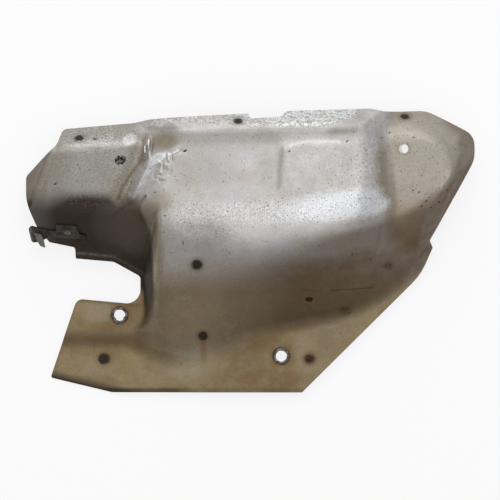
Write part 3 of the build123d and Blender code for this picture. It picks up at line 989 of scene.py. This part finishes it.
def agedSheetFinish():
    look = Finish("agedSheet")
    c = agedSheet
    broad = look.noise(0.034, 5.0, 0.62)
    blotch = look.noise(0.010, 5.0, 0.65, shift=(3, 7, 1))
    fine = look.noise(0.0028, 4.0, 0.6, shift=(9, 2, 5))
    grain = look.noise(0.0009, 2.0, 0.5, shift=(1, 8, 4))
    soot, scorch, tan, pale = (look.attribute(kind) for kind in ("soot", "scorch", "tan", "pale"))
    dull, shine, rust, scuff = (look.attribute(kind) for kind in ("dull", "shine", "rust", "scuff"))
    spots, specks, crease = (look.attribute(kind) for kind in ("spots", "specks", "crease"))
    worn, inside = look.attribute("worn"), look.attribute("inside")

    colour = look.mix(blotch.between(0.35, 0.68), c["clean"], c["cleanPale"])
    colour = look.mix(broad.between(0.48, 0.72, 0.0, 0.5), colour, c["warm"])
    cool = look.noise(0.052, 3.0, 0.55, shift=(6, 1, 3))
    colour = look.mix(cool.between(0.46, 0.62, 0.0, 0.55), colour, c["cool"])
    # dull grey, also painted shade on the box, under the lip and on the steep sides
    colour = look.mix(dull * broad.between(0.2, 0.6, 0.75, 1.0), colour, c["dull"])
    tanTone = look.mix(broad.between(0.4, 0.65), c["tan"], c["tanPale"])
    tanTone = look.mix(pale * blotch.between(0.3, 0.65, 0.5, 1.0), tanTone, c["pale"])
    colour = look.mix(tan * blotch.between(0.2, 0.6, 0.86, 1.0), colour, tanTone)
    # scorch, and painted shade on walls sloping towards -y and in creases
    scorchShadeShare = (scorch * blotch.between(0.2, 0.7, 0.88, 1.06)).atMost(1.0)
    colour = look.mix(scorchShadeShare, colour, c["scorch"])
    rustShare = (rust * 1.3 + (blotch - 0.5) * 0.9 - 0.1).between(0.15, 1.0) * rust.between(0.0, 0.2)
    colour = look.mix(rustShare * 0.8, colour, c["rust"])
    # polish with painted highlights, then edge wear with a painted highlight on convex bends, then painted
    # shade in concave bends
    polishHighlightShare = (shine * 1.15 + (fine - 0.5) * 0.9 - 0.1).between(0.1, 1.0) * shine.between(0.0, 0.15)
    colour = look.mix(polishHighlightShare, colour, c["shine"])
    colour = look.mix(worn * blotch.between(0.35, 0.65, 0.02, 0.10) * (1 - soot), colour, c["shine"])
    colour = look.mix(crease * blotch.between(0.3, 0.6, 0.3, 0.6), colour, c["scorch"])
    # soot, and painted shade on the box's wall and the elbow's side
    ragged = (blotch - 0.5) * 0.35 * soot.between(0.0, 0.4) * (1 - soot)
    sootShadeShare = (soot * 1.06 + ragged).atLeast(0.0).atMost(0.98)
    colour = look.mix(sootShadeShare, colour, c["soot"])
    # scuff, and a painted highlight along the notch's brow
    colour = look.mix(scuff * fine.between(0.35, 0.62, 0.15, 1.0), colour, c["scuff"])

    # pits: small dark dots, thick on the ridge and the lip, rare elsewhere
    salt = look.noise(0.0013, 3.0, 0.75, shift=(4, 4, 9))
    thick = specks * blotch.between(0.35, 0.62, 0.25, 1.0)
    mottled = specks.between(0.65, 0.95)
    colour = look.mix(mottled * (1 - fine.between(0.38, 0.48)) * 0.7, colour, c["dull"])
    colour = look.mix(mottled * fine.between(0.47, 0.58) * 0.75, colour, c["shine"])
    colour = look.mix(salt.between(0.52, 0.64) * thick * 0.85, colour, c["shine"])
    dots = pits(look, 0.0017, specks * 0.40 + 0.08).atLeast(pits(look, 0.0011, specks * 0.55 + 0.05))
    dots = (dots * fine.between(0.3, 0.62, 0.25, 0.95)).atLeast((1 - salt.between(0.34, 0.46)) * thick)
    colour = look.mix(dots * (1 - soot), colour, c["speck"])
    # dark marks, and painted shade in the clip's pocket and round the bushes
    spotShadeShare = (spots + (fine - 0.5) * 0.8 * spots.between(0.0, 0.5)).between(0.08, 0.95)
    colour = look.mix(spotShadeShare, colour, c["spot"])
    insideTone = look.mix(blotch.between(0.3, 0.7), c["insidePale"], c["insideBrown"])
    insideTone = look.mix(broad.between(0.45, 0.7, 0.0, 0.8), insideTone, c["scorch"])
    colour = look.mix(inside * 0.9, colour, insideTone)
    colour = look.mix(grain.between(0.25, 0.75, 0.0, 0.22), colour, c["grain"])

    black = sootShadeShare.atLeast(spotShadeShare)
    dirt = (scorch * 0.5 + rust).atMost(1.0)
    rough = 0.43 + dirt * 0.2 + black * 0.24 + dull * 0.1
    look.surface(
        Base_Color=colour,
        Metallic=(0.55 - rust * 0.25 + scorch * 0.18 + black * 0.4).atMost(0.92),
        Roughness=(rough + (fine - 0.5) * 0.25 - shine * 0.06).atLeast(0.2),
        Normal=look.bump(fine * 0.7 + blotch * 0.6 - dots * 0.5, 0.0005, 0.35),
    )
    return look


dress(sheet, agedSheetFinish())
print("sheet finished")


# the two lower bushes: a rolled inner rim, a flat outer flange and a crimp below the sheet

bush = {
    "centres": {"lower_left_bush": (-99.108, -48.386), "lower_right_bush": (23.392, -79.386)},
    "profile": [
        (4.20, 4.48), (4.20, 6.45), (4.28, 6.74), (4.48, 6.94), (4.80, 7.03), (5.15, 7.00), (5.50, 6.86),
        (5.80, 6.64), (6.02, 6.40), (6.14, 6.18), (6.05, 6.12), (5.04, 6.11), (5.00, 5.06), (6.18, 5.02),
        (6.30, 4.74), (6.12, 4.44), (4.62, 4.36),
    ],
    "sides": 64,
    # burrs in the bore: bearing, depth
    "burrs": {"lower_left_bush": [(218, 0.85), (330, 0.85)], "lower_right_bush": [(140, 0.2), (75, 0.15)]},
    "burrSpread": 11,
    "burrFoot": 4.9,
    "lowBurrShare": 0.3,
    # hammering: depth, waves round the rim, start
    "wobble": [(0.05, 3, 40), (0.04, 7, 0)],
    "boreReach": 4.7,
    "rimBase": 6.2,
    "brim": {"radius": 5.1, "height": 6.1, "waves": 5, "sag": 0.06, "from": 6.15},
    "finish": {
        "name": "crimpedSteel", "grime": 0.0022, "tangle": 0.65, "fine": 0.0006, "band": (0.40, 0.68),
        "tones": ((0.065, 0.050, 0.038), (0.30, 0.28, 0.26)),
        "freckles": (0.07, 0.045, 0.03), "freckleBand": (0.52, 0.75, 0.5),
        "metallic": 0.6, "roughness": (0.55, 0.34), "bump": (0.0002, 0.3),
    },
}


def turned(name, cx, cy, profile, sides, hollow=True):
    # a circle drawn up and out again and again round its own axis, then closed on itself or at both ends
    deselectAll()
    bpy.ops.mesh.primitive_circle_add(
        vertices=sides, radius=profile[0][0] * mm, location=(cx * mm, cy * mm, profile[0][1] * mm)
    )
    piece = named(name)
    bpy.ops.object.transform_apply(location=True, rotation=False, scale=False)
    bpy.ops.object.mode_set(mode="EDIT")
    bpy.ops.mesh.select_all(action="SELECT")
    path = profile + profile[:1] if hollow else profile
    for (fromRadius, fromHeight), (toRadius, toHeight) in zip(path, path[1:]):
        bpy.ops.mesh.extrude_edges_move(TRANSFORM_OT_translate={"value": (0, 0, (toHeight - fromHeight) * mm)})
        grow = toRadius / fromRadius
        bpy.ops.transform.resize(value=(grow, grow, 1), center_override=(cx * mm, cy * mm, 0))
    bpy.ops.mesh.select_all(action="SELECT")
    bpy.ops.mesh.remove_doubles(threshold=0.01 * mm)
    bpy.ops.mesh.fill_holes(sides=0)
    bpy.ops.mesh.select_all(action="SELECT")
    bpy.ops.mesh.normals_make_consistent(inside=False)
    bpy.ops.object.mode_set(mode="OBJECT")
    return piece


def crimpedBush(node, name):
    cx, cy = bush["centres"][node]
    ring = turned(name, cx, cy, bush["profile"], bush["sides"])
    brim = bush["brim"]
    for vertex in ring.data.vertices:
        dx, dy = vertex.co.x / mm - cx, vertex.co.y / mm - cy
        radius, angle = math.hypot(dx, dy), math.degrees(math.atan2(dy, dx)) % 360
        # hammered rim: a little out of round, with burrs left in the bore
        wobble = 0.0
        for depth, waves, start in bush["wobble"]:
            wobble += depth * math.sin(math.radians(angle * waves + start))
        inBore = radius < bush["boreReach"]
        if inBore:
            share = 1.0 if vertex.co.z > bush["burrFoot"] * mm else bush["lowBurrShare"]
            for at, depth in bush["burrs"][node]:
                apart = abs((angle - at + 180) % 360 - 180)
                wobble -= depth * math.exp(-((apart / bush["burrSpread"]) ** 2)) * share
        if radius > brim["radius"] and vertex.co.z > brim["height"] * mm:
            sag = brim["sag"] * math.sin(math.radians(angle * brim["waves"]))
            vertex.co.z -= max(0.0, sag * (vertex.co.z / mm - brim["from"])) * mm
        grow = (radius + wobble) / radius if inBore or vertex.co.z > bush["rimBase"] * mm else 1.0
        vertex.co.x, vertex.co.y = (cx + dx * grow) * mm, (cy + dy * grow) * mm
    smoothByAngle(ring, 40)
    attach(ring, "root")
    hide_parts(node)
    return ring


steelLook = grimySteel(bush["finish"])
for node, name in (("lower_left_bush", "lowerLeftBush"), ("lower_right_bush", "lowerRightBush")):
    dress(crimpedBush(node, name), steelLook)
print("bushes crimped")


# the harness clip: a riveted tab, an arm past the wall's end, and a sprung tongue

clip = {
    "gauge": 0.95,
    "standOff": 0.07,
    "plate": [
        (-145.4, 19.2, 0.8), (-130.4, 18.1, 1.2), (-128.6, 12.0, 0.6), (-123.9, 11.4, 0.8), (-123.6, 8.3, 0.6),
        (-128.1, 8.7, 0.5), (-144.6, 9.4, 0.8), (-152.9, 9.4, 1.0), (-155.6, 7.9, 0.8), (-159.7, 6.4, 0.5),
        (-163.4, 6.0, 0.8), (-165.2, 7.0, 0.8), (-167.0, 16.0, 1.2), (-165.2, 18.4, 1.2), (-161.2, 17.3, 2.0),
        (-150.7, 14.7, 2.0), (-145.9, 14.4, 0.5),
    ],
    "tongue": [
        (-162.7, 13.4, 0.4), (-157.3, 12.2, 0.4), (-155.4, 7.9, 0.8), (-154.4, 1.9, 0.4), (-158.2, 3.4, 0.8),
        (-160.3, 7.1, 0.8),
    ],
    "rivetHole": (-136.96, 13.79, 1.66, 1.16),
    "pitch": 0.7,
    "margin": 2,
    "edge": 0.14,
    # the hook curls down past its fold line, the tang dips into the slot and the tongue springs off the arm
    "foldLine": -163.6, "hookCurl": 1.3, "hookPower": 1.3,
    "tangLine": -127.6, "tangFall": 0.55,
    "tongueRoot": 12.6, "tongueLift": 0.9, "tongueFall": 0.42,
    "tipLine": 5.0, "tipCurl": 0.25, "tipPower": 1.2,
    "finish": {
        "name": "sootedSpring", "grime": 0.004, "tangle": 0.65, "fine": 0.0008, "band": (0.35, 0.65),
        "tones": ((0.038, 0.031, 0.025), (0.078, 0.067, 0.057)),
        # rubbed tone, also painted light on the tongue
        "freckles": (0.09, 0.065, 0.042), "freckleBand": (0.55, 0.75, 0.35), "rubbed": (0.24, 0.225, 0.205),
        "metallic": 0.85, "roughness": (0.6, 0.42), "bump": (0.0002, 0.3),
    },
}


def wallTop(x, y):
    # the clip's upper side: its gauge and a hair of clearance above the wall, square to it
    wallAngle = math.radians(flats["boxWall"][-1])
    return flat("boxWall", x, y) + (clip["gauge"] + clip["standOff"]) / math.cos(wallAngle)


def plateHeight(x, y):
    curl = clip["hookCurl"] * np.maximum(clip["foldLine"] - x, 0.0) ** clip["hookPower"]
    return wallTop(x, y) - curl - clip["tangFall"] * np.maximum(x - clip["tangLine"], 0.0)


def tongueHeight(x, y):
    root = wallTop(x, clip["tongueRoot"] + 0 * y)
    curl = clip["tipCurl"] * np.maximum(clip["tipLine"] - y, 0.0) ** clip["tipPower"]
    return root + clip["tongueLift"] - clip["tongueFall"] * (clip["tongueRoot"] - y) - curl


def bentPlate(name, outline, heightAt, holes=()):
    corners = np.array([c[:2] for c in outline])
    reach = (*(corners.min(0) - clip["margin"]), *(corners.max(0) + clip["margin"]))
    plate = trimmedGrid(name, reach, clip["pitch"], roundedOutline(outline, 20), holes)
    shapeSkin(plate, heightAt)
    finishWith(plate, "SOLIDIFY", thickness=clip["gauge"] * mm, offset=-1.0, use_even_offset=True)
    return plate


harnessClip = bentPlate("harnessClip", clip["plate"], plateHeight, [ellipse(*clip["rivetHole"])])
tongue = bentPlate("clipTongue", clip["tongue"], tongueHeight)
# the tongue's rubbed tone also paints it lighter, standing in for the light on its upturned facet
for part, share in ((harnessClip, 0.0), (tongue, 1.0)):
    markPoints(part, "rubbed", np.full(len(part.data.vertices), share))
pick(tongue)
harnessClip.select_set(True)
bpy.context.view_layer.objects.active = harnessClip
bpy.ops.object.join()
sharp = math.radians(50)
finishWith(harnessClip, "BEVEL", width=clip["edge"] * mm, segments=2, limit_method="ANGLE", angle_limit=sharp)
smoothByAngle(harnessClip, 40)
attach(harnessClip, "root")
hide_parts("harness_clip")
dress(harnessClip, grimySteel(clip["finish"]))
print("clip bent")


# the rivet through the clip's tab: a set head with a sunk middle, and an upset foot behind the sheet

rivet = {
    "place": (-137.04, 15.14, 22.65),
    "axis": (-0.0251, -0.7189, 0.6947),
    "profile": [
        (0.30, -1.84), (2.45, -1.84), (2.70, -1.62), (2.70, -1.25), (2.50, -1.06), (1.60, -1.05), (1.60, 1.05),
        (2.60, 1.06), (2.70, 1.20), (2.62, 1.48), (2.25, 1.76), (1.75, 1.88), (1.35, 1.84), (1.05, 1.52),
        (0.60, 1.34), (0.30, 1.31),
    ],
    "sides": 32,
    "finish": {
        "name": "rubbedRivet", "grime": 0.0012, "tangle": 0.65, "fine": 0.0004, "band": (0.38, 0.62),
        "tones": ((0.050, 0.042, 0.035), (0.21, 0.195, 0.175)),
        "metallic": 0.7, "roughness": (0.5, 0.34), "bump": (0.0001, 0.3),
    },
}


def setRivet():
    piece = turned("clipRivet", 0, 0, rivet["profile"], rivet["sides"], hollow=False)
    piece.rotation_euler = Vector(rivet["axis"]).to_track_quat("Z", "Y").to_euler()
    piece.location = [v * mm for v in rivet["place"]]
    pick(piece)
    bpy.ops.object.transform_apply(location=True, rotation=True, scale=False)
    smoothByAngle(piece, 40)
    return piece


clipRivet = setRivet()
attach(clipRivet, "root")
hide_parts("clip_rivet")
dress(clipRivet, grimySteel(rivet["finish"]))
print("rivet set")


# behind the upper holes: a broken stud seized in its nut on the left, a slipped washer on the right

leftBehind = {
    "nut": {
        "centre": (-97.108, 68.114),
        "profile": [(3.30, 30.3), (3.30, 35.1), (5.50, 35.1), (6.10, 34.7), (6.10, 30.7), (5.50, 30.3)],
        "sides": 6,
    },
    "stud": {
        "crest": 2.82, "root": 2.42, "bottom": 27.6, "top": 34.6, "thread": 1.0, "bareTop": 0.7, "sides": 28,
        "crestFrom": 0.35, "crestTo": 0.55,
        # the core, then the broken end: radius, height against the top
        "core": 0.3,
        "brokenEnd": [(2.0, 0.0), (0.9, -0.3), (0.3, -0.1)],
    },
    "washer": {
        "centre": (117.6, 76.5),
        "profile": [(4.45, 34.0), (4.45, 35.1), (8.60, 35.1), (8.75, 34.9), (8.75, 34.2), (8.60, 34.0)],
        "sides": 48,
    },
    "seized": {
        "name": "seizedSteel", "grime": 0.0016, "tangle": 0.65, "fine": 0.0005, "band": (0.45, 0.62),
        "tones": ((0.022, 0.018, 0.014), (0.20, 0.19, 0.165)),
        "freckles": (0.06, 0.035, 0.02), "freckleBand": (0.55, 0.75, 0.5),
        "metallic": 0.75, "roughness": 0.6, "bump": (0.0002, 0.4),
    },
    # the washer's tones are lighter than its plating, painted light standing in for the light that reaches it
    # under the sheet
    "platedAndPaintedLight": {
        "name": "platedWasherPaintedLight", "grime": 0.003, "tangle": 0.6, "fine": 0.0006, "band": (0.35, 0.7),
        "tones": ((0.76, 0.75, 0.73), (0.60, 0.57, 0.53)),
        "metallic": 0.5, "roughness": 0.45, "bump": (0.0001, 0.3),
    },
}


def studProfile(spec):
    z, points = spec["bottom"], [(spec["core"], spec["bottom"])]
    while z < spec["top"] - spec["bareTop"]:
        crestLow, crestHigh = (z + share * spec["thread"] for share in (spec["crestFrom"], spec["crestTo"]))
        points += [(spec["root"], z), (spec["crest"], crestLow), (spec["crest"], crestHigh)]
        z += spec["thread"]
    return points + [(spec["root"], z)] + [(radius, spec["top"] + rest) for radius, rest in spec["brokenEnd"]]


nut, studSpec, washerSpec = leftBehind["nut"], leftBehind["stud"], leftBehind["washer"]
weldNut = turned("seizedNut", *nut["centre"], nut["profile"], nut["sides"])
stud = turned("brokenStud", *nut["centre"], studProfile(studSpec), studSpec["sides"], hollow=False)
washer = turned("slippedWasher", *washerSpec["centre"], washerSpec["profile"], washerSpec["sides"])

seizedLook = grimySteel(leftBehind["seized"])
for piece, look in ((weldNut, seizedLook), (stud, seizedLook), (washer, grimySteel(leftBehind["platedAndPaintedLight"]))):
    smoothByAngle(piece, 35)
    dress(piece, look)
    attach(piece, "root")
print("remains behind the upper holes set")
